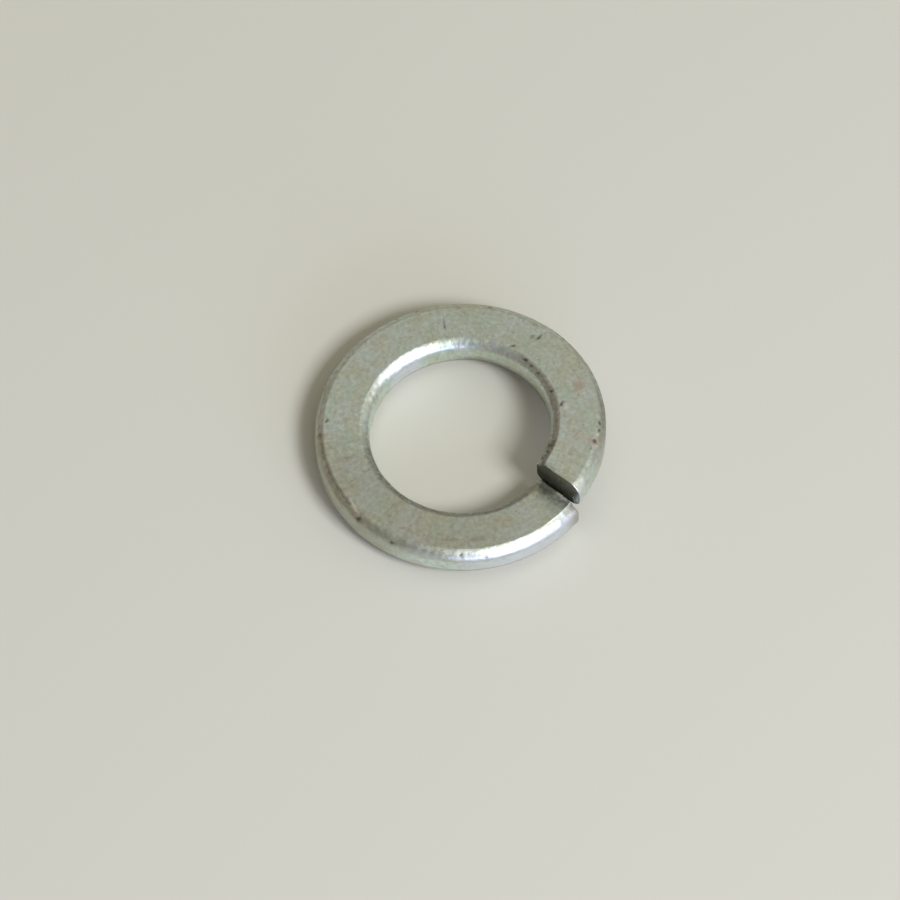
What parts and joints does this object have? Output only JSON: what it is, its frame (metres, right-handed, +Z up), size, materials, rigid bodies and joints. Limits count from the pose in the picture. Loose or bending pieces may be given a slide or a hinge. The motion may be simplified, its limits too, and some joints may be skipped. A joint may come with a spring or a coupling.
{
  "type": "spring lock washer",
  "caption": "Split spring lock washer: one coil of bevelled rectangular wire with sheared, offset ends, grips under a screw head or nut.",
  "frame": {"origin": "where the bore's axis meets the flat surface that the washer lies on", "axes": "+Z up from that surface; +X towards the split. The washer lies as it comes to rest, so the bore's axis leans 4.5 degrees from +Z, away from the split"},
  "size_m": [0.0083, 0.0082, 0.0019],
  "materials": {
    "zinc_plated_steel": "electroplated zinc, dulled and lightly pitted by use"
  },
  "bodies": {
    "root": {"spring_lock_washer": "zinc_plated_steel"}
  },
  "joints": []
}
